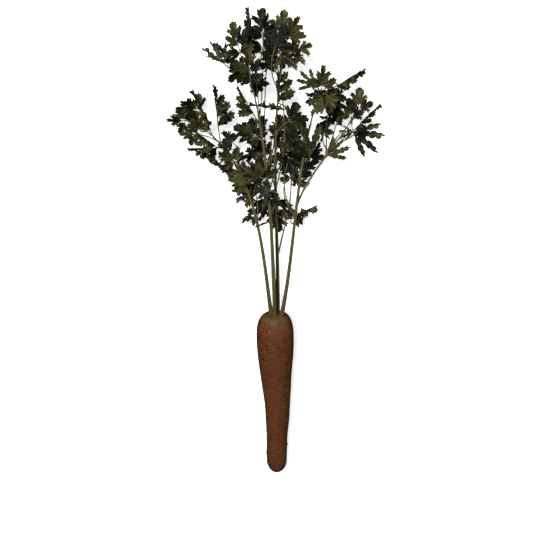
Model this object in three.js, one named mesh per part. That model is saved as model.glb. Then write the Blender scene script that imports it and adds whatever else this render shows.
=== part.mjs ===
// A freshly pulled carrot with its leafy top, lying on its side. Millimetres, +Z up.
// The root points along -Y and the leaves along +Y. The origin is on the flat strip
// under the root that it rests on, so the surface below is z = 0.

import * as THREE from 'three';

// ---- root ----
const ROOT_LENGTH = 186;
const CROWN_Y = 91;            // crown face, measured from the origin towards the leaves
const CROWN_FACE = 0.4;        // flat part of the crown, as a share of the shoulder radius
const CROWN_CAP = 23;          // length of the rounded shoulder, a quarter ellipse in profile
const TIP_CAP = 14;            // length of the rounded tip
const REST_DEPTH = 0.7;        // how much of the underside is flattened where it rests
const ROOT_SIDES = 24;
const ROOT_RINGS = 22;
const RING_CROWDING = 0.125;   // how much closer the rings are near the two ends
// distance behind the crown and radius of the body there, before the two caps
const ROOT_RADII = [[0, 18], [33, 18], [52, 16.8], [72, 15], [92, 13.7], [127, 11.7], [162, 10.6],
  [186, 10.4]];
// distance behind the crown and how far the root wanders to the right there
const ROOT_BEND = [[0, -1.5], [72, -0.7], [107, 0.6], [142, 0], [186, -0.3]];

// ---- leaf stalks ----
const TOP_Y = 95;              // where y is zero for the stalks and leaves
const STALK_SIDES = 6;
const STALK_STEPS = 12;
const GAP = 0.3;               // kept between pieces that meet
const UP = new THREE.Vector3(0, 0, 1);

// Each stalk's foot on the crown's face [x, z], its other control points [x, y, z] with y
// measured from TOP_Y, and the radius at its foot and at its end.
const STALKS = {
  left: {
    foot: 1.9, end: 0.5, stand: [-5.3, 16],
    path: [[-13, 62, 20], [-16, 134, 26], [-60, 166, 15]],
  },
  tall_left: {
    foot: 1.95, end: 0.5, stand: [-1.5, 21],
    path: [[-4, 80, 26], [-6, 156, 36], [-22, 213, 28]],
  },
  tall_right: {
    foot: 1.95, end: 0.5, stand: [1, 14],
    path: [[2, 80, 10], [-6, 156, 18], [5, 219, 22]],
  },
  right: {
    foot: 1.9, end: 0.5, stand: [4.6, 24],
    path: [[18, 75, 38], [15, 142, 48], [36, 198, 25]],
  },
};

// Side stalks: the stalk they leave, how far along it, and their other control points.
const SIDE_STALKS = {
  low: {
    parent: 'tall_right', along: 0.22, foot: 0.8, end: 0.5,
    path: [[6, 78, 19], [13, 100, 18], [13, 120, 17]],
  },
  far_right: {
    parent: 'right', along: 0.5, foot: 1, end: 0.45,
    path: [[28, 136, 34], [56, 156, 17], [70, 186, 11]],
  },
};

// ---- leaves ----
const LEAF_THICKNESS = 0.8;
const STALKLET_WIDTH = 1;
const STALKLET_STEP = 6;       // length of one straight piece of a stalklet
const FEWEST_STEPS = 4;        // pieces in the shortest ones
const STALKLET_LEAD = 0.5;     // share of its reach over which it turns in line with its leaf
const JOINT_REACH = 1.4;       // where the leaflets leave the joint between them
const SHORTEST_STEM = 2.2;     // a leaflet's stem shorter than this is part of the joint
const LEAF_DROOP = 0.16;       // how far a leaflet's end hangs, as a share of its length
const LEAF_CUP = 0.18;         // how far its sides rise, as a share of their distance out
const LEAFLET_TILT = 16;       // most that leaflets tilt and twist out of the leaf's plane, degrees
const LEAFLET_TWIST = 22;
// steps in angle that keep the tilts and twists of neighbouring leaflets unlike
const VARIATION = { leaf: 12.9, leaflet: 4.7, purpose: 2.3 };

// Right half of an outline, from the base to just before the end: distance out and distance
// along, as shares of the length. A leaflet has a lobe at each side of the one at its end.
const LEAFLET = [[0.37, 0.28], [0.45, 0.56], [0.19, 0.52], [0.29, 0.8]];
const LOBE = [[0.22, 0.68], [0.15, 0.87]];
const WEB_SPREAD = 0.38;       // half width of a lobe where it leaves the web, against how far out

// The forms of a leaf: each leaflet's place on the midrib, angle from it, own stem and
// length, as shares of the leaf's length, and its width against a plain one. A web joins a
// lobe to the one on its right, and ends this far out.
const FORMS = {
  ternate: {
    outline: LEAFLET,
    looseness: 1,
    leaflets: [
      { at: 0, angle: 70, stem: 0.16, length: 0.56, width: 1 },
      { at: 0, angle: 0, stem: 0.3, length: 0.7, width: 1.05 },
      { at: 0, angle: -66, stem: 0.18, length: 0.52, width: 1 },
    ],
  },
  palmate: {
    outline: LOBE,
    looseness: 0.4,
    leaflets: [
      { at: 0, angle: 84, stem: 0, length: 0.68, width: 1.1 },
      { at: 0, angle: 42, stem: 0, length: 0.92, width: 1, web: 0.36 },
      { at: 0, angle: 0, stem: 0, length: 1, width: 1, web: 0.42 },
      { at: 0, angle: -42, stem: 0, length: 0.86, width: 1, web: 0.42 },
      { at: 0, angle: -84, stem: 0, length: 0.72, width: 1.1, web: 0.34 },
    ],
  },
  pinnate: {
    outline: LEAFLET,
    looseness: 1,
    leaflets: [
      { at: 0.08, angle: 68, stem: 0.06, length: 0.42, width: 0.9 },
      { at: 0.42, angle: 64, stem: 0.05, length: 0.34, width: 0.9 },
      { at: 0.62, angle: 0, stem: 0.05, length: 0.38, width: 1 },
      { at: 0.38, angle: -64, stem: 0.05, length: 0.35, width: 0.9 },
      { at: 0.04, angle: -70, stem: 0.06, length: 0.43, width: 0.9 },
    ],
  },
  narrow: {
    outline: LEAFLET,
    looseness: 0.6,
    leaflets: [
      { at: 0.08, angle: 52, stem: 0.05, length: 0.38, width: 0.7 },
      { at: 0.38, angle: 46, stem: 0.05, length: 0.34, width: 0.7 },
      { at: 0.56, angle: 0, stem: 0.05, length: 0.44, width: 0.7 },
      { at: 0.34, angle: -46, stem: 0.05, length: 0.34, width: 0.7 },
      { at: 0.04, angle: -54, stem: 0.05, length: 0.38, width: 0.7 },
    ],
  },
};

// The leaves of each stalk, from its far end down: how far along the stalk they leave it,
// the joint of the leaflets [x, y, z] with y from TOP_Y, heading in degrees clockwise
// from +Y, roll in degrees to the right, length and form.
const LEAVES = {
  left: [
    { along: 1, joint: [-79, 174, 7], heading: -95, roll: 15, length: 15, form: 'ternate' },
    { along: 1, joint: [-65, 183, 10], heading: -70, roll: 10, length: 17, form: 'ternate' },
    { along: 1, joint: [-66, 168, 17], heading: -8, roll: 0, length: 15, form: 'palmate' },
    { along: 0.9, joint: [-70, 162, 4], heading: -85, roll: 0, length: 14, form: 'ternate' },
    { along: 0.95, joint: [-55, 169, 34], heading: -21, roll: -79, length: 34, form: 'narrow' },
    { along: 0.9, joint: [-50, 171, 14], heading: -4, roll: 58, length: 32, form: 'narrow' },
    { along: 0.9, joint: [-52, 156, 33], heading: -52, roll: -45, length: 24, form: 'narrow' },
    { along: 0.65, joint: [-37, 127, 20], heading: -50, roll: -74, length: 34, form: 'narrow' },
    { along: 0.65, joint: [-26, 132, 34], heading: -80, roll: 0, length: 15, form: 'palmate' },
    { along: 0.6, joint: [-27, 121, 11], heading: -75, roll: 0, length: 17, form: 'palmate' },
    { along: 0.59, joint: [-22, 110, 3], heading: -80, roll: 150, length: 18, form: 'palmate' },
    { along: 0.5, joint: [-19, 92, 17], heading: -105, roll: 160, length: 12, form: 'ternate' },
  ],
  tall_left: [
    { along: 1, joint: [-28, 228, 38], heading: -15, roll: 0, length: 23, form: 'palmate' },
    { along: 0.95, joint: [-20, 208, 47], heading: -5, roll: 0, length: 22, form: 'palmate' },
    { along: 0.95, joint: [-20, 230, 19], heading: -3, roll: -50, length: 33, form: 'narrow' },
    { along: 1, joint: [-42, 221, 28], heading: -38, roll: 50, length: 20, form: 'palmate' },
    { along: 0.95, joint: [-30, 217, 11], heading: -45, roll: -50, length: 27, form: 'narrow' },
    { along: 0.98, joint: [-25, 217, 38], heading: -125, roll: 0, length: 16, form: 'palmate' },
    { along: 0.8, joint: [-11, 230, 9], heading: 0, roll: 0, length: 30, form: 'pinnate' },
    { along: 0.5, joint: [-34, 143, 38], heading: -55, roll: 0, length: 16, form: 'ternate' },
    { along: 0.5, joint: [-13, 131, 43], heading: -80, roll: 0, length: 15, form: 'palmate' },
    { along: 0.65, joint: [-20, 181, 14], heading: -31, roll: -55, length: 25, form: 'narrow' },
    { along: 0.67, joint: [-15, 162, 28], heading: -60, roll: -10, length: 19, form: 'palmate' },
    { along: 0.5, joint: [-9, 128, 25], heading: -10, roll: 0, length: 16, form: 'palmate' },
    { along: 0.42, joint: [-6, 121, 50], heading: -95, roll: 165, length: 13, form: 'palmate' },
    { along: 0.42, joint: [-10, 103, 8], heading: -178, roll: 165, length: 18, form: 'palmate' },
  ],
  tall_right: [
    { along: 1, joint: [4, 246, 5], heading: 10, roll: 0, length: 16, form: 'ternate' },
    { along: 1, joint: [6, 233, 34], heading: 30, roll: -10, length: 24, form: 'palmate' },
    { along: 0.95, joint: [6, 226, 26], heading: 70, roll: -20, length: 22, form: 'pinnate' },
    { along: 0.8, joint: [1, 191, 16], heading: 4, roll: 38, length: 31, form: 'narrow' },
    { along: 0.9, joint: [0, 234, 42], heading: 25, roll: 170, length: 16, form: 'palmate' },
    { along: 0.85, joint: [6, 186, 40], heading: -82, roll: 84, length: 28, form: 'narrow' },
    { along: 0.6, joint: [-7, 137, 6], heading: -25, roll: 0, length: 23, form: 'palmate' },
    { along: 0.65, joint: [4, 158, 10], heading: 25, roll: 0, length: 30, form: 'pinnate' },
    { along: 0.7, joint: [12, 175, 26], heading: 80, roll: -15, length: 15, form: 'palmate' },
  ],
  low: [
    { along: 1, joint: [13, 124, 8], heading: -15, roll: -15, length: 19, form: 'palmate' },
    { along: 1, joint: [17, 121, 17], heading: 25, roll: 15, length: 20, form: 'pinnate' },
    { along: 0.55, joint: [1, 102, 2], heading: 178, roll: 0, length: 28, form: 'palmate' },
  ],
  right: [
    { along: 0.7, joint: [27, 150, 50], heading: -25, roll: 0, length: 31, form: 'palmate' },
    { along: 0.7, joint: [30, 144, 19], heading: 20, roll: 10, length: 16, form: 'palmate' },
    { along: 1, joint: [32, 204, 17], heading: -62, roll: 0, length: 16, form: 'palmate' },
    { along: 1, joint: [37, 204, 36], heading: 0, roll: 0, length: 16, form: 'palmate' },
    { along: 1, joint: [42, 199, 22], heading: 62, roll: 50, length: 35, form: 'narrow' },
    { along: 0.98, joint: [49, 199, 9], heading: 176, roll: 66, length: 28, form: 'narrow' },
    { along: 0.98, joint: [42, 196, 33], heading: 170, roll: 0, length: 14, form: 'palmate' },
    { along: 0.92, joint: [39, 189, 45], heading: -115, roll: 30, length: 12, form: 'ternate' },
    { along: 0.42, joint: [14, 91, 25], heading: 55, roll: 40, length: 22, form: 'pinnate' },
  ],
  far_right: [
    { along: 0.5, joint: [44, 148, 34], heading: 54, roll: 0, length: 19, form: 'palmate' },
    { along: 0.85, joint: [71, 184, 5], heading: 5, roll: 0, length: 16, form: 'ternate' },
    { along: 0.9, joint: [67, 168, 20], heading: 43, roll: 55, length: 29, form: 'narrow' },
    { along: 0.7, joint: [64, 177, 16], heading: -5, roll: 0, length: 15, form: 'ternate' },
    { along: 0.6, joint: [68, 164, 4], heading: 112, roll: 0, length: 28, form: 'palmate' },
    { along: 0.55, joint: [41, 163, 13], heading: 20, roll: -30, length: 15, form: 'ternate' },
  ],
};

const ROOT_SKIN = new THREE.MeshStandardMaterial({ color: 0x9a5526, roughness: 0.75, metalness: 0 });
const STALK_GREEN = new THREE.MeshStandardMaterial({ color: 0x5d5c38, roughness: 0.6, metalness: 0 });
const LEAF_GREEN = new THREE.MeshStandardMaterial({ color: 0x3f4526, roughness: 0.65, metalness: 0 });

// ---- root ----

// A smooth curve through [distance, value] pairs, read at a distance.
function reading(pairs, distance) {
  const curve = new THREE.SplineCurve(pairs.map(([d, value]) => new THREE.Vector2(d, value)));
  const after = Math.max(1, pairs.findIndex(([d]) => d >= distance));
  const [d0] = pairs[after - 1];
  const [d1] = pairs[after];
  const share = (distance - d0) / (d1 - d0);
  return curve.getPoint((after - 1 + share) / (pairs.length - 1)).y;
}

// The share of the body radius that is left at a distance behind the crown.
function capShare(distance) {
  const fromTip = ROOT_LENGTH - distance;
  if (distance < CROWN_CAP) {
    return CROWN_FACE + (1 - CROWN_FACE) * Math.sqrt(1 - (1 - distance / CROWN_CAP) ** 2);
  }
  if (fromTip < TIP_CAP) return Math.sqrt(1 - (1 - fromTip / TIP_CAP) ** 2);
  return 1;
}

// Rings are closer together under the two rounded ends.
function ringDistance(ring) {
  const even = ring / ROOT_RINGS;
  return ROOT_LENGTH * (even - Math.sin(2 * Math.PI * even) * RING_CROWDING);
}

function taproot() {
  const profile = [new THREE.Vector2(0, -ROOT_LENGTH)];
  for (let ring = ROOT_RINGS - 1; ring >= 0; ring -= 1) {
    const distance = ringDistance(ring);
    profile.push(new THREE.Vector2(reading(ROOT_RADII, distance) * capShare(distance), -distance));
  }
  profile.push(new THREE.Vector2(0, 0));
  const geometry = new THREE.LatheGeometry(profile, ROOT_SIDES);
  const position = geometry.attributes.position;
  for (let i = 0; i < position.count; i += 1) {
    const distance = -position.getY(i);
    const axisHeight = reading(ROOT_RADII, distance) - REST_DEPTH;
    position.setX(i, position.getX(i) + reading(ROOT_BEND, distance));
    position.setZ(i, Math.max(0, position.getZ(i) + axisHeight));
  }
  return geometry;
}

// ---- stalks ----

function toVector([x, y, z]) {
  return new THREE.Vector3(x, y, z);
}

function stalkRadius(stalk, along) {
  return THREE.MathUtils.lerp(stalk.foot, stalk.end, along);
}

// A point just clear of a stalk's skin, on the side that faces a target.
function besideStalk(stalk, along, target, clearance) {
  const centre = stalk.curve.getPoint(along);
  const tangent = stalk.curve.getTangent(along);
  const outward = target.clone().sub(centre);
  outward.addScaledVector(tangent, -outward.dot(tangent)).normalize();
  return centre.addScaledVector(outward, stalkRadius(stalk, along) + clearance);
}

// A tapered round stalk: a cylinder whose axis is laid along the stalk's curve.
function stalkGeometry(stalk) {
  const geometry = new THREE.CylinderGeometry(1, 1, 1, STALK_SIDES, STALK_STEPS);
  const position = geometry.attributes.position;
  for (let i = 0; i < position.count; i += 1) {
    const along = position.getY(i) + 0.5;
    const radius = stalkRadius(stalk, along);
    const tangent = stalk.curve.getTangent(along);
    const side = new THREE.Vector3().crossVectors(tangent, UP).normalize();
    const top = new THREE.Vector3().crossVectors(side, tangent);
    const point = stalk.curve.getPoint(along);
    point.addScaledVector(side, position.getX(i) * radius);
    point.addScaledVector(top, position.getZ(i) * radius);
    position.setXYZ(i, point.x, point.y, point.z);
  }
  return geometry;
}

// ---- leaves ----

// A repeatable number between -1 and 1 that differs from leaflet to leaflet.
function vary(leaf, leaflet, purpose) {
  return Math.sin(leaf * VARIATION.leaf + leaflet * VARIATION.leaflet + purpose * VARIATION.purpose);
}

function turned(vector, axis, degrees) {
  return vector.clone().applyAxisAngle(axis, THREE.MathUtils.degToRad(degrees));
}

// Three directions at right angles: along the leaf, to its right, and out of its face.
function leafFrame(heading, roll) {
  const angle = THREE.MathUtils.degToRad(heading);
  const along = new THREE.Vector3(Math.sin(angle), Math.cos(angle), 0);
  const right = turned(new THREE.Vector3(Math.cos(angle), -Math.sin(angle), 0), along, roll);
  return { along, right, face: new THREE.Vector3().crossVectors(right, along) };
}

// The outline of a leaf, from the foot of its stalklet up the right side, round the blade and
// back down the left. Each point has its place in space and the direction of the leaf's
// thickness there. The blade is a flat pattern whose leaflets rise and fall over its plane.
function leafOutline(stalk, leaf, number) {
  const { length } = leaf;
  const { outline, looseness, leaflets } = FORMS[leaf.form];
  const frame = leafFrame(leaf.heading, leaf.roll);
  const joint = toVector(leaf.joint);
  const half = STALKLET_WIDTH / 2;
  const points = [];

  const start = besideStalk(stalk, leaf.along, joint, GAP + half);
  const reach = start.distanceTo(joint);
  const bend = joint.clone().addScaledVector(frame.along, -reach * STALKLET_LEAD);
  const stalklet = new THREE.QuadraticBezierCurve3(start, bend, joint);
  const steps = Math.max(FEWEST_STEPS, Math.round(reach / STALKLET_STEP));
  // sections of the stalklet, from the stalk to the joint; none is twisted against the next
  const sections = [];
  let right = frame.right;
  for (let step = steps; step >= 0; step -= 1) {
    const share = (step / steps) * (reach / (reach + JOINT_REACH));
    const tangent = stalklet.getTangent(share);
    right = right.clone().addScaledVector(tangent, -right.dot(tangent)).normalize();
    const face = new THREE.Vector3().crossVectors(right, tangent);
    sections.unshift({ centre: stalklet.getPoint(share), right, face });
  }
  const addStalklet = (section, side) => {
    points.push({
      pattern: new THREE.Vector2(side * half, -JOINT_REACH),
      place: section.centre.clone().addScaledVector(section.right, side * half),
      face: section.face,
    });
  };

  const addLeaflet = (leaflet, index) => {
    const tilt = THREE.MathUtils.degToRad(LEAFLET_TILT * looseness * vary(number, index, 1));
    const twist = THREE.MathUtils.degToRad(LEAFLET_TWIST * looseness * vary(number, index, 2));
    const turn = THREE.MathUtils.degToRad(leaflet.angle);
    const foot = leaflet.at * length;
    const stem = leaflet.stem * length;
    const size = leaflet.length * length;
    const add = (out, far) => {
      const share = Math.max(0, far - stem) / size;
      const bow = LEAF_CUP * Math.abs(out) - LEAF_DROOP * size * share ** 2;
      const height = far * Math.tan(tilt) + out * Math.tan(twist) + bow;
      const x = far * Math.sin(turn) + out * Math.cos(turn);
      const y = foot + far * Math.cos(turn) - out * Math.sin(turn);
      points.push({
        pattern: new THREE.Vector2(x, y),
        place: joint.clone().addScaledVector(frame.right, x).addScaledVector(frame.along, y)
          .addScaledVector(frame.face, height),
        face: frame.face,
      });
    };
    const web = (leaflet.web ?? 0) * length;
    const hasStem = stem > SHORTEST_STEM;
    if (web) add(web * WEB_SPREAD, web);
    else add(half, JOINT_REACH);
    if (hasStem) add(half, stem);
    outline.forEach(([out, far]) => add(out * size * leaflet.width, stem + far * size));
    add(0, stem + size);
    outline.toReversed().forEach(([out, far]) => add(-out * size * leaflet.width, stem + far * size));
    if (hasStem) add(-half, stem);
    if (!leaflets[index + 1]?.web) add(-half, JOINT_REACH);
  };

  sections.forEach((section) => addStalklet(section, 1));
  leaflets.forEach(addLeaflet);
  sections.toReversed().forEach((section) => addStalklet(section, -1));
  return { points, steps };
}

// A thin closed plate: the outline's two faces, half a thickness to either side, and its
// edge. It is kept above the surface that the carrot lies on.
function plate({ points, steps }, thickness) {
  const count = points.length;
  const vertices = [];
  [thickness / 2, -thickness / 2].forEach((offset) => {
    points.forEach(({ place, face }) => {
      const middle = place.clone().setZ(Math.max(place.z, thickness / 2));
      vertices.push(...middle.addScaledVector(face, offset));
    });
  });
  const triangles = [];
  for (let right = 0; right < steps; right += 1) {
    const left = count - 1 - right;
    triangles.push([right, right + 1, left - 1], [right, left - 1, left]);
  }
  const blade = points.slice(steps, count - steps).map((point) => point.pattern);
  THREE.ShapeUtils.triangulateShape(blade, []).forEach((corners) => {
    triangles.push(corners.map((corner) => corner + steps));
  });
  const indices = [];
  triangles.forEach(([a, b, c]) => indices.push(a, b, c, count + a, count + c, count + b));
  for (let i = 0; i < count; i += 1) {
    const next = (i + 1) % count;
    indices.push(i, count + i, count + next, i, count + next, next);
  }
  const geometry = new THREE.BufferGeometry();
  geometry.setAttribute('position', new THREE.Float32BufferAttribute(vertices, 3));
  geometry.setIndex(indices);
  geometry.computeVertexNormals();
  return geometry;
}

// ---- assembly ----

function named(name, geometry, material) {
  const mesh = new THREE.Mesh(geometry, material);
  mesh.name = name;
  return mesh;
}

const root = named('taproot', taproot(), ROOT_SKIN);
root.position.y = CROWN_Y;

const top = new THREE.Group();
top.position.y = TOP_Y;

const stalks = {};
Object.entries(STALKS).forEach(([name, stalk]) => {
  const [x, z] = stalk.stand;
  const foot = new THREE.Vector3(x, CROWN_Y - TOP_Y + GAP, z);
  const others = stalk.path.map(toVector);
  stalks[name] = { ...stalk, curve: new THREE.CubicBezierCurve3(foot, ...others) };
});
Object.entries(SIDE_STALKS).forEach(([name, stalk]) => {
  const others = stalk.path.map(toVector);
  const foot = besideStalk(stalks[stalk.parent], stalk.along, others[0], GAP + stalk.foot);
  stalks[name] = { ...stalk, curve: new THREE.CubicBezierCurve3(foot, ...others) };
});
Object.entries(stalks).forEach(([name, stalk]) => {
  top.add(named(`${name}_stalk`, stalkGeometry(stalk), STALK_GREEN));
});

let number = 0;
Object.entries(LEAVES).forEach(([name, leaves]) => {
  leaves.forEach((leaf, index) => {
    number += 1;
    const geometry = plate(leafOutline(stalks[name], leaf, number), LEAF_THICKNESS);
    top.add(named(`${name}_leaf_${index + 1}`, geometry, LEAF_GREEN));
  });
});

const carrot = new THREE.Group();
carrot.add(root, top);

export default carrot;
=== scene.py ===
"""A freshly pulled carrot with its leafy top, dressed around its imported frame.

Sizes are in millimetres, and MM turns them into metres. The root points along -Y and the
leaves along +Y. Points (x, y, z) on stalks and leaves have y measured from TOP_Y.
"""

import math

import bpy
import numpy as np
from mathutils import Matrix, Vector, noise
from mathutils.geometry import delaunay_2d_cdt


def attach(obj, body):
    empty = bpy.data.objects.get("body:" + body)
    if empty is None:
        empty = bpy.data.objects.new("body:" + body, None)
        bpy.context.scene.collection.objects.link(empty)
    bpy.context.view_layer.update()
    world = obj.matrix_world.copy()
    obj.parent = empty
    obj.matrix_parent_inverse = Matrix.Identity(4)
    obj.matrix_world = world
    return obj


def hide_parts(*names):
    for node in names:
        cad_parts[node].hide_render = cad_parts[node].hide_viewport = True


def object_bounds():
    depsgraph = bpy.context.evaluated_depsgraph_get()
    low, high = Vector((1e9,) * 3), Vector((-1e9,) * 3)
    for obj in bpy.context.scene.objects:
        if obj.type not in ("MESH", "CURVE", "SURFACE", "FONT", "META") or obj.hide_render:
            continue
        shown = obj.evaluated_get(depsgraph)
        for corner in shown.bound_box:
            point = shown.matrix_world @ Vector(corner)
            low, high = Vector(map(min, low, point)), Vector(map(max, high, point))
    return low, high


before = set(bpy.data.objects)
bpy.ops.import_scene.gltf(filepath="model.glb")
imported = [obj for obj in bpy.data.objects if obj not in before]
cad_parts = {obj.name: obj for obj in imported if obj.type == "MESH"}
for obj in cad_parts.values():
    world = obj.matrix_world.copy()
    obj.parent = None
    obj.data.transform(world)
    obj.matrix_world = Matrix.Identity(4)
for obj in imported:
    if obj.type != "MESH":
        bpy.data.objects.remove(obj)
cad_low, cad_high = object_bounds()

MM = 0.001
UP = np.array([0.0, 0.0, 1.0])
SHARP_SKIN = 60  # edges sharper than this stay sharp, degrees
SHARP_BLADE = 50

# ---- camera, light and floor ----
CAMERA_AIM = (3.2, 126.3, 20)
CAMERA_DISTANCE = 558.7
CAMERA_TILT = 20  # degrees off straight down
CAMERA_LENS = 38.6
SENSOR_WIDTH = 36
FLOOR_SIZE = 40000
FLOOR_GREYS = (0.9, 0.91)
FLOOR_GLOW = 0.75  # keeps its shadows pale
SKY_COLOUR = (0.95, 0.98, 1.0)
SKY_DARK = (0.03, 0.03, 0.03)  # below the horizon
SKY_STRENGTH = 0.15
SKY_EDGE = (-0.03, 0.02)  # heights between which one turns into the other
# Each lamp, aimed at the middle of the carrot: place, width, watts and colour
LAMPS = {
    "key_light": ((-450, 750, 1620), 350, 31, (1, 0.98, 0.94)),
    "left_light": ((-1500, 400, 560), 500, 2.5, (0.7, 0.86, 1)),
    "right_light": ((1500, 200, 560), 500, 3.8, (1, 0.99, 0.96)),
}

# ---- root ----
# As far as ROOT_BEND the values are the solid's own, but for the shoulder.
ROOT_LENGTH = 186
CROWN_Y = 91  # crown face, from the origin
CROWN_FACE = 0.4  # radius of the crown's face, against the root's
CROWN_CAP = 23  # length over which the crown rounds off
SHOULDER = 2.35  # 2 is an ellipse, as the solid has; more is squarer
TIP_CAP = 14  # and the tip
REST_DEPTH = 0.7  # flattened off the underside
# Radius and sideways bend at distances behind the crown
ROOT_RADII = [(0, 18), (33, 18), (52, 16.8), (72, 15), (92, 13.7), (127, 11.7), (162, 10.6),
              (186, 10.4)]
ROOT_BEND = [(0, -1.5), (72, -0.7), (107, 0.6), (142, 0), (186, -0.3)]
ROOT_SIDES = 144
ROOT_RINGS = 560
RING_CROWDING = 0.125  # how much closer rings lie at both ends
DOME_RINGS = 30  # of the crown's face
DOME_HEIGHT = 0.5  # the crown swells this far beyond its face
STALK_SWELL = 0.7  # and this far again round each stalk's foot
STALK_SWELL_WIDTH = 2.6
LUMPS = [(28, 0.45), (9, 0.16), (3.2, 0.05)]  # size and height of the skin's lumps
RELIEF_FADE = 6  # relief fades where the radius is less
CREASE_WIDTH = 0.75
CREASE_END = 0.4  # share of the width left at its ends
CREASE_LIP = 0.35  # height of its lips, against its depth
DARK_DEPTH = 0.45  # a crease this deep is as dark as any
# Creases: distance behind the crown, degrees right of the top, length round the root, depth
# and slant in degrees
CREASES = [
    (10, 62, 6, 0.35, 20), (21, 60, 6, 0.4, 22), (28, 56, 8, 0.45, 24), (33, 55, 7, 0.45, 24),
    (38, 54, 8, 0.5, 24), (49, 46, 7, 0.6, 22), (57, 42, 7, 0.6, 20), (63, 44, 8, 0.5, 14),
    (74, 40, 6, 0.45, 16), (83, 42, 8, 0.6, 18), (91, 40, 8, 0.6, 20), (107, 44, 7, 0.45, 18),
    (124, 46, 5, 0.5, 8), (133, 34, 6, 0.35, 6), (145, 42, 5, 0.4, 10), (152, 44, 4, 0.4, 12),
    (33, -16, 9, 0.4, 0), (42, -44, 12, 0.45, -12), (55, -50, 8, 0.35, -14), (27, 4, 8, 0.25, 4),
    (67, -52, 7, 0.3, -12), (100, -46, 8, 0.3, -6), (140, -30, 9, 0.35, -4), (158, 8, 7, 0.3, 2),
]
SCAR_ROWS = (48, 132, 228, 312)  # rows of rootlet scars, degrees right of the top
SCARS_PER_ROW = 34
SCAR_ENDS = (8, 10)  # how far they stay from crown and tip
# Limits of a scar's stray along its row and, in degrees, off it, its length, depth and slant
SCAR_LIMITS = [(-3, 3), (-20, 20), (1.5, 6), (0.1, 0.3), (-12, 12)]
# Nubs of broken rootlets: distance, degrees right of the top, height and width
NUBS = [(151, 84, 0.7, 1.4), (163, -86, 0.5, 2.6), (120, 170, 0.8, 1.6), (88, -120, 0.7, 1.6)]

# ---- stalks ----
TOP_Y = 95  # where y is zero for the stalks and leaves
STALK_SIDES = 24
STALK_STEPS = 150
STALK_RIBS = 7
RIB_DEPTH = 0.07  # against the stalk's radius
CHANNEL_DEPTH = 0.16  # the channel along a stalk's upper side
CHANNEL_WIDTH = 0.5  # in radians
ROOTING = (5, 1.8)  # how far behind its foot a stalk's path in the crown is steered
ROOTING_STEPS = 12
SHEATH_LENGTH = 12  # of a stalk's wider foot
SHEATH_WIDENING = 0.08
FOOT_Y = CROWN_Y - TOP_Y
# Radius at the foot and end, and control points from the foot on the crown's face
STALKS = {
    "left": (1.9, 0.5, [(-5.3, FOOT_Y, 16), (-13, 62, 20), (-16, 134, 26), (-60, 166, 15)]),
    "tall_left": (1.95, 0.5, [(-1.5, FOOT_Y, 21), (-4, 80, 26), (-6, 156, 36), (-22, 213, 28)]),
    "tall_right": (1.95, 0.5, [(1, FOOT_Y, 14), (2, 80, 10), (-6, 156, 18), (5, 219, 22)]),
    "right": (1.9, 0.5, [(4.6, FOOT_Y, 24), (18, 75, 38), (15, 142, 48), (36, 198, 25)]),
}
# The stalk they leave, how far along it, radius at the foot and end, other control points
SIDE_STALKS = {
    "low": ("tall_right", 0.22, 0.8, 0.5, [(6, 78, 19), (13, 100, 18), (13, 120, 17)]),
    "far_right": ("right", 0.5, 1, 0.45, [(28, 136, 34), (56, 156, 17), (70, 186, 11)]),
}

# ---- leaves ----
LEAF_DROOP = (0.05, 0.4)  # least and most that a leaflet's end sinks, as a share
LEAF_CUP = 0.3  # how steeply a leaflet's halves rise from its midrib
FOLD_ROUNDING = 1  # radius of a fold along the midrib
LEAFLET_TILT = 26  # most degrees that it tips along itself
LEAFLET_TWIST = 46  # and turns about its midrib
TWIST_ONSET = 3  # the twist is full a third of the way along
VARIATION = (12.9, 4.7, 2.3)  # weight of the leaf, the leaflet and the purpose
TILT, TWIST, DROOP, LEAF_TONE, LEAFLET_TONE = 1, 2, 3, 5, 6  # purposes
BLADE_THICKNESS = 0.36
BASE_WIDTH = 0.02  # half a blade's width at its foot, against its length
TIP_REACH = 1.06  # of its foremost tooth
MIDRIB_END = 0.97
MARGIN_SHARE = 0.55  # of the thickness, left at the margin
MARGIN_WIDTH = 0.05
POINT_SPACING = 0.8  # between the points of a blade's mesh
VEIN_CLEARANCE = 0.45  # against that spacing
EDGE_CLEARANCE = 0.35
MESHING_TOLERANCE = 1e-4
OUTLINE_SPACING = 0.6
VEIN_FOLD = 1.5  # how steeply a blade rises from its main veins
VEIN_FOLD_REACH = 4
FINE_VEIN_FAINTNESS = 0.12  # makes fine veins seem further off
MARGIN_CURL = 1.1  # how far the margin bends down
MARGIN_CURL_REACH = 1.0
RUFFLE = 0.5  # height of the waves along the margin
RUFFLE_LENGTH = 5.5
RUFFLE_HEADING = (1.0, 0.6)
RUFFLE_REACH = 1.6  # how far they run in from the margin
RUFFLE_START = 3  # where they are whole, from the midrib
FLANK_BULGE = (0.14, 0.035)  # of a tooth's side: share of its length, at most of the leaflet's
FLANK_STEPS = 4
JITTER = 0.025  # how far the teeth stray, against the leaflet's length
INNER_PAINTED_SHADE = 0.9  # painted shade: how much darker leaves deep in the tuft are coloured
INNER_REACH = 70  # those further aside are no darker,
INNER_FADE = 25  # and those nearer by this fully so
STALKLET_RADIUS = 0.5  # of the thin stalk that carries a leaf
STALKLET_TAPER = 0.15
STALKLET_SIDES = 10
STALKLET_STEP = 1.5  # between its rings
STALKLET_LEAD = 0.5  # how far before its end it is steered, against its reach
STALKLET_CLEARANCE = 0.8  # from the stalk to where its reach begins
STALKLET_OVERLAP = 0.6  # past the joint
STALKLET_SWELL = 0.5  # how much wider its foot is
STALKLET_SWELL_LENGTH = 2.5
STEM_RADIUS = 0.36  # of a leaflet's own stem
STEM_TAPER = 0.8  # share left at its end
STEM_OVERLAP = 0.02  # into the blade, against its length
STEM_SIDES = 8
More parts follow.
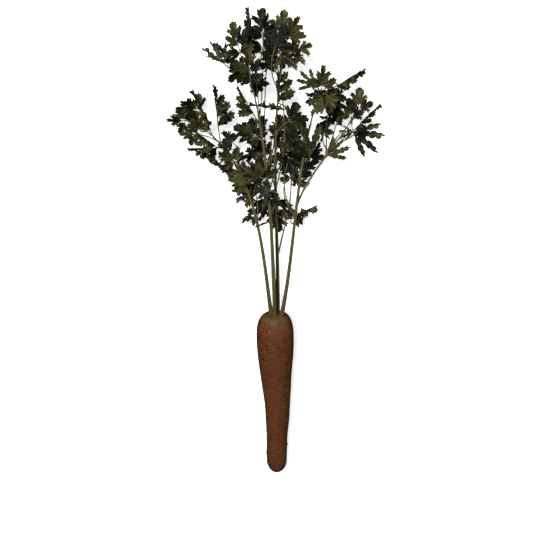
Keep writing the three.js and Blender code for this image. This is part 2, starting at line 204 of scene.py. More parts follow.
FEWEST_STEPS = 8  # of a stem or stalklet
RESTING_HEIGHT = 0.25  # lowest that a blade lies
RESTING_SOFTNESS = 0.5  # how gently it eases up to that

# The right half of each outline from the base to just before the end, tooth and notch by turns,
# and of the veins from foot to end: distances out and along, as shares of the length.
LEAFLET = {
    "outline": [(0.38, 0.36), (0.3, 0.4), (0.54, 0.53), (0.4, 0.54), (0.45, 0.71), (0.09, 0.42),
                (0.27, 0.79), (0.18, 0.8), (0.2, 0.97), (0.09, 0.92)],
    "main_veins": [((0, 0.08), (0.48, 0.56))],
    "fine_veins": [((0.19, 0.27), (0.33, 0.35)), ((0.24, 0.32), (0.41, 0.66)),
                   ((0, 0.5), (0.22, 0.75)), ((0, 0.7), (0.16, 0.92))],
}
LOBE = {
    "outline": [(0.08, 0.2), (0.21, 0.46), (0.14, 0.52), (0.25, 0.7), (0.15, 0.75), (0.17, 0.94),
                (0.07, 0.91)],
    "main_veins": [((0, 0.3), (0.16, 0.48)), ((0, 0.5), (0.22, 0.7))],
    "fine_veins": [((0, 0.7), (0.15, 0.91))],
}
# Each form: its leaflets' shape, how loosely they lie, how many degrees its sides fold up along
# its midrib, and its leaflets. Each of these: place on the midrib, angle from it, stem and
# length, as shares of the leaf's length, and width as a share of the shape's own.
FORMS = {
    "ternate": (LEAFLET, 1, 10, [
        (0, 64, 0.1, 0.72, 0.95), (0, 0, 0.2, 0.84, 1), (0, -60, 0.12, 0.68, 0.95)]),
    "palmate": (LEAFLET, 0.8, 10, [
        (0, 68, 0.02, 0.72, 1), (0, 0, 0.08, 0.92, 1), (0, -64, 0.02, 0.68, 1)]),
    "bushy": (LEAFLET, 0.9, 12, [
        (0.04, 78, 0.02, 0.5, 0.95), (0.3, 46, 0.05, 0.5, 0.95), (0.46, 0, 0.05, 0.54, 1),
        (0.26, -46, 0.05, 0.48, 0.95), (0.02, -78, 0.02, 0.5, 0.95)]),
    "cut": (LOBE, 0.8, 10, [
        (0, 78, 0, 0.7, 1.15), (0, 38, 0, 0.92, 1), (0, 0, 0, 1, 1), (0, -38, 0, 0.86, 1),
        (0, -78, 0, 0.72, 1.15)]),
    "pinnate": (LEAFLET, 1, 18, [
        (0.06, 66, 0.04, 0.54, 0.9), (0.38, 58, 0.04, 0.46, 0.9), (0.56, 0, 0.05, 0.5, 1),
        (0.34, -58, 0.04, 0.46, 0.9), (0.03, -68, 0.05, 0.54, 0.9)]),
    "narrow": (LOBE, 0.2, 0, [
        (0.03, 34, 0, 0.46, 1.3), (0.3, 28, 0, 0.42, 1.3), (0.58, 0, 0, 0.44, 1.2),
        (0.28, -28, 0, 0.42, 1.3), (0, -34, 0, 0.46, 1.3)]),
    "fingers": (LOBE, 0.5, 10, [
        (0, 44, 0, 0.8, 0.5), (0, 15, 0, 1, 0.45), (0, -13, 0, 0.97, 0.45),
        (0, -42, 0, 0.84, 0.5)]),
    "folded": (LOBE, 0.3, 56, [
        (0.02, 62, 0, 0.54, 1.1), (0.22, 48, 0, 0.5, 1), (0.42, 36, 0, 0.42, 1),
        (0.6, 0, 0, 0.42, 1.1), (0.4, -36, 0, 0.42, 1), (0.2, -48, 0, 0.5, 1),
        (0, -62, 0, 0.54, 1.1)]),
    "slim": (LOBE, 0.3, 56, [
        (0.02, 44, 0, 0.36, 1.2), (0.26, 36, 0, 0.34, 1.1), (0.46, 26, 0, 0.32, 1.1),
        (0.6, 0, 0, 0.42, 1.2), (0.44, -26, 0, 0.32, 1.1), (0.24, -36, 0, 0.34, 1.1),
        (0, -44, 0, 0.36, 1.2)]),
}
# The leaves of each stalk from its far end down: how far along the stalk they leave it,
# joint of the leaflets, heading in degrees clockwise from +Y, roll to the right, length, form.
LEAVES = {
    "left": [
        (1, (-79, 174, 7), -95, 15, 15, "ternate"),
        (1, (-65, 183, 10), -70, 10, 17, "ternate"),
        (1, (-66, 168, 17), -8, 0, 15, "palmate"),
        (0.9, (-70, 162, 4), -85, 0, 14, "ternate"),
        (0.95, (-55, 169, 34), -21, -79, 34, "narrow"),
        (0.9, (-50, 171, 14), -4, 58, 32, "folded"),
        (0.9, (-52, 156, 33), -52, -45, 24, "folded"),
        (0.65, (-37, 127, 20), -50, -74, 34, "narrow"),
        (0.65, (-26, 132, 34), -80, 0, 15, "palmate"),
        (0.6, (-27, 121, 11), -75, 0, 17, "palmate"),
        (0.59, (-22, 110, 3), -80, 150, 18, "cut"),
        (0.5, (-19, 92, 17), -105, 160, 12, "ternate"),
    ],
    "tall_left": [
        (1, (-28, 228, 38), -15, 0, 23, "bushy"),
        (0.95, (-20, 208, 47), -5, 0, 22, "bushy"),
        (0.95, (-20, 230, 19), -3, -50, 33, "slim"),
        (1, (-42, 221, 28), -38, 50, 20, "fingers"),
        (0.95, (-30, 217, 11), -45, -50, 27, "slim"),
        (0.98, (-25, 217, 38), -125, 0, 16, "palmate"),
        (0.8, (-11, 230, 9), 0, 0, 30, "pinnate"),
        (0.5, (-34, 143, 38), -55, 0, 16, "ternate"),
        (0.5, (-13, 131, 43), -80, 0, 15, "palmate"),
        (0.65, (-20, 181, 14), -31, -55, 25, "folded"),
        (0.67, (-15, 162, 28), -60, -10, 19, "bushy"),
        (0.5, (-9, 128, 25), -10, 0, 16, "palmate"),
        (0.42, (-6, 121, 50), -95, 165, 13, "palmate"),
        (0.42, (-10, 103, 8), -178, 165, 18, "cut"),
    ],
    "tall_right": [
        (1, (4, 246, 5), 10, 0, 16, "ternate"),
        (1, (6, 233, 34), 30, -10, 24, "bushy"),
        (0.95, (6, 226, 26), 70, -20, 22, "pinnate"),
        (0.8, (1, 191, 16), 4, 38, 31, "folded"),
        (0.9, (0, 234, 42), 25, 170, 16, "palmate"),
        (0.85, (6, 186, 40), -82, 84, 28, "narrow"),
        (0.6, (-7, 137, 6), -25, 0, 23, "bushy"),
        (0.65, (4, 158, 10), 25, 0, 30, "pinnate"),
        (0.7, (12, 175, 26), 80, -15, 15, "palmate"),
    ],
    "low": [
        (1, (13, 124, 8), -15, -15, 19, "bushy"),
        (1, (17, 121, 17), 25, 15, 20, "pinnate"),
        (0.55, (1, 102, 2), 178, 0, 28, "bushy"),
    ],
    "right": [
        (0.7, (27, 150, 50), -25, 0, 31, "fingers"),
        (0.7, (30, 144, 19), 20, 10, 16, "palmate"),
        (1, (32, 204, 17), -62, 0, 16, "fingers"),
        (1, (37, 204, 36), 0, 0, 16, "palmate"),
        (1, (42, 199, 22), 62, 50, 35, "slim"),
        (0.98, (49, 199, 9), 176, 66, 28, "narrow"),
        (0.98, (42, 196, 33), 170, 0, 14, "palmate"),
        (0.92, (39, 189, 45), -115, 30, 12, "ternate"),
        (0.42, (14, 91, 25), 55, 40, 22, "pinnate"),
    ],
    "far_right": [
        (0.5, (44, 148, 34), 54, 0, 19, "fingers"),
        (0.85, (71, 184, 5), 5, 0, 16, "ternate"),
        (0.9, (67, 168, 20), 43, 55, 29, "slim"),
        (0.7, (64, 177, 16), -5, 0, 15, "ternate"),
        (0.6, (68, 164, 4), 112, 0, 28, "fingers"),
        (0.55, (41, 163, 13), 20, -30, 15, "ternate"),
    ],
}

# Leaves deeper in the tuft, without solids of their own: the same values
INNER_LEAVES = {
    "tall_left": [
        (0.6, (-11, 168, 16), -85, 160, 20, "bushy"),
        (0.55, (-14, 158, 12), -60, 20, 24, "bushy"),
        (0.5, (-12, 146, 10), -100, 150, 22, "bushy"),
        (0.5, (-8, 217, 14), 5, 160, 18, "bushy"),
        (0.96, (-10, 244, 20), 0, 20, 12, "ternate"),
        (0.45, (-15, 207, 22), 172, 150, 13, "palmate"),
        (0.5, (-5, 119, 40), 142, -78, 27, "narrow"),
        (0.4, (-7, 89, 30), -110, -78, 13, "narrow"),
    ],
    "tall_right": [
        (0.55, (6, 150, 8), 40, 10, 22, "bushy"),
        (0.5, (4, 140, 6), 80, 160, 22, "bushy"),
        (0.6, (2, 165, 10), 60, 20, 20, "pinnate"),
        (0.5, (-2, 220, 14), -20, 20, 20, "bushy"),
        (0.95, (5, 226, 14), 110, 20, 14, "palmate"),
        (0.4, (-8, 111, 12), -165, 75, 26, "narrow"),
    ],
    "right": [
        (0.45, (14, 128, 16), 60, 170, 24, "bushy"),
        (0.45, (10, 138, 12), 20, 20, 22, "bushy"),
        (0.9, (37, 195, 30), -120, -20, 13, "cut"),
        (0.9, (46, 198, 26), 180, 15, 18, "palmate"),
        (0.9, (52, 201, 18), 175, 80, 30, "narrow"),
    ],
    "far_right": [
        (0.5, (49, 182, 12), -140, -30, 16, "pinnate"),
        (0.5, (42, 174, 8), -170, 78, 18, "narrow"),
        (0.6, (67, 165, 8), -100, 60, 13, "fingers"),
    ],
    "left": [
        (1, (-73, 182, 5), -80, 0, 14, "palmate"),
        (0.9, (-52, 152, 20), -92, -45, 24, "folded"),
        (0.8, (-50, 138, 18), -58, 80, 15, "narrow"),
        (0.75, (-37, 158, 28), -55, 165, 12, "palmate"),
        (0.75, (-40, 153, 24), -75, 10, 10, "ternate"),
        (0.7, (-41, 146, 22), -100, 20, 9, "palmate"),
        (0.55, (-13, 133, 24), -85, 0, 16, "palmate"),
        (0.45, (-22, 109, 14), -150, 20, 12, "ternate"),
    ],
}

chance = np.random.default_rng(11)


def put_in_scene(name, data):
    """A new object in the scene."""
    thing = bpy.data.objects.new(name, data)
    bpy.context.scene.collection.objects.link(thing)
    return thing


# ---- meshes ----

class Shells:
    """Closed shells that make one piece, with the numbers that their material reads."""

    def __init__(self):
        self.points = []
        self.faces = []
        self.marks = []

    def add(self, points, faces, **marks):
        """Each mark is one number for each point, or one for all."""
        count = sum(map(len, self.points))
        self.faces.extend(tuple(corner + count for corner in face) for face in faces)
        self.points.append(points)
        self.marks.append({mark: np.broadcast_to(marks[mark], len(points)) for mark in marks})

    def piece(self, name, material, sharp_angle):
        """One object of all shells, smooth but for its sharp edges."""
        mesh = bpy.data.meshes.new(name)
        points = np.concatenate(self.points) + (0, TOP_Y, 0)
        mesh.from_pydata((points * MM).tolist(), [], self.faces)
        for mark in sorted(self.marks[0]):
            values = np.concatenate([marks[mark] for marks in self.marks])
            attribute = mesh.attributes.new(mark, "FLOAT", "POINT")
            attribute.data.foreach_set("value", values.astype(np.float32))
        mesh.shade_smooth()
        mesh.set_sharp_from_angle(angle=math.radians(sharp_angle))
        mesh.materials.append(material)
        return put_in_scene(name, mesh)


def unit(vectors):
    return vectors / np.linalg.norm(vectors, axis=-1, keepdims=True)


def bezier(controls, shares):
    """Points of a Bezier curve, of any degree, at an array of shares."""
    shares = np.atleast_1d(shares)[None, :, None]
    points = np.array(controls, float)[:, None, :]
    while len(points) > 1:
        points = points[:-1] * (1 - shares) + points[1:] * shares
    return points[0]


def tangent_at(controls, share):
    """Direction of a Bezier curve at one share."""
    return unit(bezier(np.diff(controls, axis=0), share)[0])


def turns(sides):
    """The angles, in radians, of the sides of a ring."""
    return np.arange(sides) * 2 * math.pi / sides


def wrapped(angles):
    """Angles brought to between half a turn back and half a turn on."""
    return (angles + math.pi) % (2 * math.pi) - math.pi


def ring_faces(rings, sides):
    """Faces of a closed skin over rings of points, after which come its ends' middles."""
    edges = [(corner, (corner + 1) % sides) for corner in range(sides)]
    faces = []
    for ring in range(0, (rings - 1) * sides, sides):
        faces += [(ring + a, ring + b, ring + sides + b, ring + sides + a) for a, b in edges]
    foot = rings * sides
    last = foot - sides
    for a, b in edges:
        faces += [(foot, b, a), (foot + 1, last + a, last + b)]
    return faces


def tube(centres, radii, section, facing):
    """A closed tube round a line of centres. Section is the share of the radius at each side,
    and facing is where the first side points."""
    tangents = unit(np.gradient(centres, axis=0))
    angles = turns(len(section))
    rings = []
    for centre, radius, tangent in zip(centres, radii, tangents):
        facing = unit(facing - tangent * (facing @ tangent))
        side = np.cross(tangent, facing)
        ring = np.outer(np.cos(angles) * section, facing) + np.outer(np.sin(angles) * section, side)
        rings.append(centre + ring * radius)
    points = np.concatenate([*rings, centres[:1], centres[-1:]])
    return points, ring_faces(len(centres), len(section))


# ---- root ----

def reading(pairs, distance):
    """The smooth curve through (distance, value) pairs, read at distances."""
    places, values = np.array(pairs, float).T
    last = len(places) - 1
    after = np.clip(np.searchsorted(places, distance), 1, last)
    share = (distance - places[after - 1]) / (places[after] - places[after - 1])
    start, end = values[after - 1], values[after]
    leaving = (end - values[np.maximum(after - 2, 0)]) / 2
    arriving = (values[np.minimum(after + 1, last)] - start) / 2
    cubic = 2 * (start - end) + leaving + arriving
    square = 3 * (end - start) - 2 * leaving - arriving
    return ((cubic * share + square) * share + leaving) * share + start


def cap_share(distance):
    """The share of the body's radius that is left at distances behind the crown."""
    drop = np.clip(1 - distance / CROWN_CAP, 0, 1) ** SHOULDER
    crown = CROWN_FACE + (1 - CROWN_FACE) * (1 - drop) ** (1 / SHOULDER)
    tip = np.sqrt(1 - np.clip(1 - (ROOT_LENGTH - distance) / TIP_CAP, 0, 1) ** 2)
    return crown * tip


def lumps(points):
    """Height of the skin's lumps at some points."""
    heights = np.zeros(len(points))
    for size, height in LUMPS:
        heights += [height * noise.noise(Vector(point / size)) for point in points]
    return heights


def all_creases():
    """The creases placed by hand and the rows of small rootlet scars."""
    creases = list(CREASES)
    for row in SCAR_ROWS:
        for distance in np.linspace(SCAR_ENDS[0], ROOT_LENGTH - SCAR_ENDS[1], SCARS_PER_ROW):
            along, aside, *shape = [chance.uniform(*limits) for limits in SCAR_LIMITS]
            creases.append((distance + along, row + aside, *shape))
    return creases


def crease_relief(distance, angle, radius):
    """Height of the skin near its creases, and how deep in one each point is."""
    height = np.zeros(len(distance))
    inside = np.zeros(len(distance))
    for place, turn, length, depth, slant in all_creases():
        across = wrapped(angle - math.radians(turn)) * radius
        along = distance - place
        lean = math.radians(slant)
        down = along * math.cos(lean) + across * math.sin(lean)
        side = across * math.cos(lean) - along * math.sin(lean)
        reach = np.clip(1 - (2 * side / length) ** 2, 0, 1)
        width = CREASE_WIDTH * (CREASE_END + (1 - CREASE_END) * reach)
        groove = reach * np.exp(-(down / width) ** 2)
        lips = reach * np.exp(-((np.abs(down) - 2 * width) / width) ** 2)
        height += depth * (CREASE_LIP * lips - groove)
        inside = np.maximum(inside, groove * min(1, depth / DARK_DEPTH))
    return height, inside


def nub_relief(distance, angle, radius):
    """Height of the skin near its nubs."""
    height = np.zeros(len(distance))
    for place, turn, rise, width in NUBS:
        apart = np.hypot(distance - place, wrapped(angle - math.radians(turn)) * radius)
        height += rise * np.exp(-(apart / width) ** 2)
    return height


def taproot(material):
    """The root, in rings over the crown's face and down the body."""
    even = np.arange(ROOT_RINGS) / ROOT_RINGS
    body = ROOT_LENGTH * (even - np.sin(2 * math.pi * even) * RING_CROWDING)
    dome = np.arange(1, DOME_RINGS) / DOME_RINGS
    rings = len(dome) + len(body)
    distance = np.repeat(np.concatenate([np.zeros(len(dome)), body]), ROOT_SIDES)
    distance = np.append(distance, [0, ROOT_LENGTH])
    out = np.repeat(np.concatenate([dome, np.ones(len(body))]), ROOT_SIDES)
    out = np.append(out, [0, 0])
    angle = np.append(np.tile(turns(ROOT_SIDES), rings), [0, 0])

    full = reading(ROOT_RADII, distance)
    radius = full * cap_share(distance) * out
    y = FOOT_Y + DOME_HEIGHT * (1 - out ** 2) - distance
    outward = np.stack([np.sin(angle), np.zeros(len(angle)), np.cos(angle)], axis=1)
    points = np.stack([reading(ROOT_BEND, distance), y, full - REST_DEPTH], axis=1)
    points += outward * radius[:, None]
    for _, _, path in STALKS.values():
        x, _, z = path[0]
        apart = np.hypot(points[:, 0] - x, points[:, 2] - z)
        near_crown = np.clip(1 - distance / CROWN_CAP, 0, 1) ** 2
        points[:, 1] += STALK_SWELL * np.exp(-(apart / STALK_SWELL_WIDTH) ** 2) * near_crown
    creases, inside = crease_relief(distance, angle, radius)
    relief = lumps(points) + creases + nub_relief(distance, angle, radius)
    points += outward * (relief * np.minimum(1, radius / RELIEF_FADE))[:, None]
    points[:, 2] = np.maximum(points[:, 2], 0)

    shells = Shells()
    shells.add(points, ring_faces(rings, ROOT_SIDES),
               crease=inside, distance=distance, flank=np.abs(np.sin(angle)))
    return shells.piece("root_body", material, SHARP_SKIN)


# ---- stalks ----

def beside_stalk(stalk, along, target):
    """A point just clear of a stalk's skin, on the side that faces a target."""
    foot, end, controls = stalk
    centre = bezier(controls, along)[0]
    tangent = tangent_at(controls, along)
    outward = target - centre
    outward = unit(outward - tangent * (outward @ tangent))
    return centre + outward * (foot + (end - foot) * along + STALKLET_CLEARANCE)


def stalk_piece(name, stalk, rooted, material):
    """A ribbed stalk with a channel on its upper side. A rooted one widens into the crown."""
    foot, end, controls = stalk
    shares = np.linspace(0, 1, STALK_STEPS)
    centres = bezier(controls, shares)
    radii = foot + (end - foot) * shares
    lengths = np.concatenate([[0], np.cumsum(np.linalg.norm(np.diff(centres, axis=0), axis=1))])
    if rooted:
        radii = radii * (1 + SHEATH_WIDENING / (1 + (lengths / SHEATH_LENGTH) ** 4))
        inner = [centres[0] - (0, behind, 0) for behind in ROOTING]
        rooting = bezier([*inner, centres[0]], np.linspace(0, 1, ROOTING_STEPS))[:-1]
        centres = np.concatenate([rooting, centres])
        radii = np.concatenate([np.full(len(rooting), radii[0]), radii])

    angles = turns(STALK_SIDES)
    ribs = RIB_DEPTH * np.cos(angles * STALK_RIBS + math.pi)
    channel = CHANNEL_DEPTH * np.exp(-(wrapped(angles) / CHANNEL_WIDTH) ** 2)
    section = 1 + ribs - channel
    points, faces = tube(centres, radii, section, UP)
    # hollow marks the channel and the grooves between ribs, which the material darkens as painted
    # shade
    hollow = np.append(np.tile(1 - section, len(centres)), [0, 0])
    from_foot = np.concatenate([np.zeros(len(centres) - len(lengths)), lengths])
    if not rooted:
        from_foot += lengths[-1]
    from_foot = np.append(np.repeat(from_foot, STALK_SIDES), [0, from_foot[-1]])
    shells = Shells()
    shells.add(points, faces, hollow=hollow, from_foot=from_foot)
    piece = shells.piece(f"{name}_stalk_skin", material, SHARP_SKIN)
    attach(piece, "root")
    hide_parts(f"{name}_stalk")


# ---- leaves ----

def vary(leaf, leaflet, purpose):
    """A repeatable number between -1 and 1."""
    counts = (leaf, leaflet, purpose)
    return math.sin(sum(count * weight for count, weight in zip(counts, VARIATION)))


def leaf_frame(heading, roll):
    """Three directions at right angles: right of the leaf, along it, and out of its face."""
    turn = math.radians(heading)
    lean = math.radians(roll)
    along = np.array([math.sin(turn), math.cos(turn), 0])
    level = np.array([math.cos(turn), -math.sin(turn), 0])
    right = level * math.cos(lean) + np.cross(along, level) * math.sin(lean)
    return right, along, np.cross(right, along)


def sides_of(outline):
    """The sides of a closed outline, each as its start and end."""
    return list(zip(outline, np.roll(outline, -1, axis=0)))


def bulged(corners, most):
    """A closed outline whose sides between corners swell outward."""
    points = []
    for corner, following in sides_of(corners):
        run = following - corner
        length = np.linalg.norm(run)
        outward = np.array([-run[1], run[0]]) / length
        swell = min(FLANK_BULGE[0] * length, most)
        control = (corner + following) / 2 + outward * swell * 2
        points.extend(bezier([corner, control, following], np.arange(FLANK_STEPS) / FLANK_STEPS))
    return np.array(points)


def divided(outline, spacing):
    """The same outline with points added where they are far apart."""
    points = []
    for point, following in sides_of(outline):
        pieces = max(1, round(np.linalg.norm(following - point) / spacing))
        points.extend(point + (following - point) * step / pieces for step in range(pieces))
    return np.array(points)


def segment_distance(points, segments):
    """Distance from each point to the nearest of some line segments."""
    nearest = np.full(len(points), np.inf)
    for start, end in segments:
        run = end - start
        share = np.clip((points - start) @ run / (run @ run), 0, 1)
        nearest = np.minimum(nearest, np.linalg.norm(points - start - share[:, None] * run, axis=1))
    return nearest


def inside_outline(points, outline):
    """Whether each point is inside a closed outline."""
    inside = np.zeros(len(points), bool)
    x, y = points.T
    for (x0, y0), (x1, y1) in sides_of(outline):
        if y0 != y1:
            crossed = (y0 > y) != (y1 > y)
            inside ^= crossed & (x < (x1 - x0) * (y - y0) / (y1 - y0) + x0)
    return inside


def filled(outline, veins):
    """Triangles that fill an outline, with points over it and along its veins."""
    low, high = outline.min(axis=0), outline.max(axis=0)
    grid = []
    for row, y in enumerate(np.arange(low[1], high[1], POINT_SPACING * math.sqrt(3) / 2)):
        shift = POINT_SPACING / 2 * (row % 2)
        grid.extend((x, y) for x in np.arange(low[0] + shift, high[0], POINT_SPACING))
    grid = np.array(grid)
    grid = grid[segment_distance(grid, veins) > POINT_SPACING * VEIN_CLEARANCE]
    along_veins = []
    for start, end in veins:
        count = max(2, round(np.linalg.norm(end - start) / POINT_SPACING))
        along_veins.extend(start + (end - start) * step / count for step in range(count))
    points = np.concatenate([grid, along_veins])
    points = points[inside_outline(points, outline)]
    clear = segment_distance(points, sides_of(outline)) > POINT_SPACING * EDGE_CLEARANCE
    corners = [Vector(point) for point in np.concatenate([outline, points[clear]])]
    loop = [list(range(len(outline)))]
    found = delaunay_2d_cdt(corners, [], loop, 1, MESHING_TOLERANCE)
    return np.array([tuple(point) for point in found[0]]), [tuple(face) for face in found[2]]


def vertex_normals(points, faces):
    """Directions out of a sheet of triangles at its points."""
    a, b, c = np.array(faces).T
    across = np.cross(points[b] - points[a], points[c] - points[a])
    normals = np.zeros_like(points)
    for corners in (a, b, c):
        np.add.at(normals, corners, across)
    return unit(normals)


def rim_edges(faces):
    """The edges that only one face has, in its direction."""
    edges = [(face[corner], face[(corner + 1) % 3]) for face in faces for corner in range(3)]
    known = set(edges)
    return [edge for edge in edges if (edge[1], edge[0]) not in known]


def rested(points):
    """Points eased up where they would be below the surface."""
    raised = points.copy()
    height = (points[:, 2] - RESTING_HEIGHT) / RESTING_SOFTNESS
    raised[:, 2] = RESTING_HEIGHT + RESTING_SOFTNESS * np.logaddexp(0, height)
    return raised


class Leaf:
    """One leaf: its place, its flat pattern, and how that lies in space. Depth paints shade on it.
    """

    def __init__(self, row, number, depth):
        self.along, joint, heading, roll, self.length, form = row
        self.joint = np.array(joint, float)
        self.number = number
        self.depth = depth
        self.shape, self.looseness, self.fold, self.leaflets = FORMS[form]
        self.right, self.ahead, self.face = leaf_frame(heading, roll)

    def pattern(self, index, shares):
        """Places in the flat pattern of a leaflet's own (out, along) shares."""
        at, angle, stem, size, width = self.leaflets[index]
        shares = np.array(shares)
        out = shares[:, 0] * size * width * self.length
        far = (stem + shares[:, 1] * size) * self.length
        turn = math.radians(angle)
        x = far * math.sin(turn) + out * math.cos(turn)
        y = at * self.length + far * math.cos(turn) - out * math.sin(turn)
        return np.stack([x, y], axis=1)

    def height(self, index, pattern):
        """Height of a leaflet over the leaf's plane at places in the pattern."""
        at, angle, stem, size, _ = self.leaflets[index]
        loose = self.looseness
        turn = math.radians(angle)
        x, y = pattern[:, 0], pattern[:, 1] - at * self.length
        far = x * math.sin(turn) + y * math.cos(turn)
        out = x * math.cos(turn) - y * math.sin(turn)
        tilt = math.radians(LEAFLET_TILT * loose * vary(self.number, index, TILT))
        twist = math.radians(LEAFLET_TWIST * loose * vary(self.number, index, TWIST))
        share = np.maximum(0, far - stem * self.length) / (size * self.length)
        least, most = LEAF_DROOP
        droop = least + (most - least) * vary(self.number, index, DROOP) ** 2
        bow = LEAF_CUP * loose * np.abs(out) - droop * loose * size * self.length * share ** 2
        turned = out * math.tan(twist) * np.minimum(1, share * TWIST_ONSET)
        return far * math.tan(tilt) + turned + bow

    def place(self, pattern, height):
        """Where the folded leaf brings places in the pattern, at heights over it."""
        fold = math.radians(self.fold)
        spread = np.hypot(pattern[:, 0], FOLD_ROUNDING)
        out = pattern[:, 0] * (math.cos(fold) - height * math.sin(fold) / spread)
        rise = (spread - FOLD_ROUNDING) * math.sin(fold) + height * math.cos(fold)
        plane = np.outer(out, self.right) + np.outer(pattern[:, 1], self.ahead)
        return self.joint + plane + np.outer(rise, self.face)


def leaflet_veins(leaf, index, kind):
    """Vein segments of both halves of a leaflet, in the flat pattern."""
    return [tuple(leaf.pattern(index, np.array(vein) * (side, 1)))
            for vein in leaf.shape[kind] for side in (1, -1)]


def strayed(outline):
    """An outline's points, each moved a little at random."""
    return [(out + chance.uniform(-JITTER, JITTER), far + chance.uniform(-JITTER, JITTER))
            for out, far in outline]


def blade(leaf, index, shells):
    """One leaflet: a closed thin sheet, folded along its veins."""
    half = leaf.shape["outline"]
    corners = [(BASE_WIDTH, 0), *strayed(half), (0, TIP_REACH)]
    corners += [(-out, far) for out, far in strayed(half)[::-1]] + [(-BASE_WIDTH, 0)]
    midrib = tuple(leaf.pattern(index, [(0, 0), (0, MIDRIB_END)]))
    main = leaflet_veins(leaf, index, "main_veins")
    fine = leaflet_veins(leaf, index, "fine_veins")
    most = FLANK_BULGE[1] * leaf.leaflets[index][3] * leaf.length
    outline = divided(bulged(leaf.pattern(index, corners)[::-1], most), OUTLINE_SPACING)
    pattern, faces = filled(outline, [midrib, *main, *fine])
    inward = segment_distance(pattern, sides_of(outline))
    from_main = segment_distance(pattern, main)
    from_midrib = segment_distance(pattern, [midrib])
    from_strong = np.minimum(from_main, from_midrib)
    from_fine = segment_distance(pattern, fine) + FINE_VEIN_FAINTNESS
    pleat = VEIN_FOLD * np.minimum(from_strong, VEIN_FOLD_REACH)
    wave = np.sin(2 * math.pi * (pattern @ RUFFLE_HEADING) / RUFFLE_LENGTH + leaf.number)
    wave *= np.exp(-inward / RUFFLE_REACH)
    wave *= np.minimum(1, from_midrib / RUFFLE_START)
    curl = MARGIN_CURL * np.exp(-inward / MARGIN_CURL_REACH)
    height = leaf.height(index, pattern) + pleat + RUFFLE * wave - curl
    middle = rested(leaf.place(pattern, height))
    normals = vertex_normals(middle, faces)
    thin = np.where(inward < MARGIN_WIDTH, MARGIN_SHARE, 1)[:, None]
    offset = normals * thin * BLADE_THICKNESS / 2
    count = len(middle)
    flipped = [(c + count, b + count, a + count) for a, b, c in faces]
    rim = [(b, a, a + count, b + count) for a, b in rim_edges(faces)]
    # the underside, which the material paints near-black as painted shade
    upper = offset @ leaf.face > 0
    under = np.concatenate([~upper, upper]).astype(float)
    tones = vary(leaf.number, 0, LEAF_TONE) + vary(leaf.number, index, LEAFLET_TONE)
    # the leaf's random colour, less its depth as painted shade for leaves deep in the tuft
    shells.add(np.concatenate([middle + offset, middle - offset]), [*faces, *flipped, *rim],
               under=under, vein=np.tile(np.minimum(from_strong, from_fine), 2),
               tone=tones / 2 - leaf.depth, stem=0)


def round_stem(leaf, centres, radii, sides, shells):
    points, faces = tube(rested(centres), radii, np.ones(sides), leaf.face)
    shells.add(points, faces, under=0, vein=0, tone=vary(leaf.number, 0, LEAF_TONE), stem=1)


def stem_between(leaf, ends, heights, radii, shells):
    """A stem between two places in the flat pattern, at two heights over it."""
    shares = np.linspace(0, 1, FEWEST_STEPS)
    pattern = np.outer(1 - shares, ends[0]) + np.outer(shares, ends[1])
    centres = leaf.place(pattern, heights[0] * (1 - shares) + heights[1] * shares)
    round_stem(leaf, centres, radii[0] + (radii[1] - radii[0]) * shares, STEM_SIDES, shells)


def leaf_stems(leaf, shells):
    """The midrib that carries the leaflets, and each leaflet's own stem."""
    furthest = max(leaflet[0] for leaflet in leaf.leaflets) * leaf.length
    if furthest:
        stem_between(leaf, [(0, 0), (0, furthest)], (0, 0), (STALKLET_RADIUS, STEM_RADIUS), shells)
    for index, (at, _, stem, _, _) in enumerate(leaf.leaflets):
        if stem:
            base = leaf.pattern(index, [(0, STEM_OVERLAP)])
            heights = (0, leaf.height(index, base)[0])
            radii = (STEM_RADIUS, STEM_RADIUS * STEM_TAPER)
            stem_between(leaf, [(0, at * leaf.length), base[0]], heights, radii, shells)


def stalklet(leaf, stalk, shells):
    """The thin stalk that carries a leaf, from inside its stalk to the leaf's joint."""
    reach = np.linalg.norm(leaf.joint - beside_stalk(stalk, leaf.along, leaf.joint))
    bend = leaf.joint - leaf.ahead * reach * STALKLET_LEAD
    inner = bezier(stalk[2], leaf.along)[0]
    shares = np.linspace(0, 1, max(FEWEST_STEPS, round(reach / STALKLET_STEP)))
    centres = bezier([inner, bend, leaf.joint + leaf.ahead * STALKLET_OVERLAP], shares)
    swelling = STALKLET_SWELL * np.exp(-shares * reach / STALKLET_SWELL_LENGTH)
    radii = STALKLET_RADIUS * (1 + swelling) * (1 - STALKLET_TAPER * shares)
    round_stem(leaf, centres, radii, STALKLET_SIDES, shells)


def leaf_piece(name, stalk, row, number, depth, material):
    """A whole leaf: its stalklet, stems and blades."""
    leaf = Leaf(row, number, depth)
    shells = Shells()
    stalklet(leaf, stalk, shells)
    leaf_stems(leaf, shells)
    for index in range(len(leaf.leaflets)):
        blade(leaf, index, shells)
    piece = shells.piece(f"{name}_blade", material, SHARP_BLADE)
    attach(piece, "root")
    return piece


def tuft_painted_shade(row):
    """How much painted shade darkens an inner leaf, as it is nearer the tuft's middle."""
    aside = abs(row[1][0])
    return INNER_PAINTED_SHADE * min(1, max(0, (INNER_REACH - aside) / INNER_FADE))


# ---- materials ----

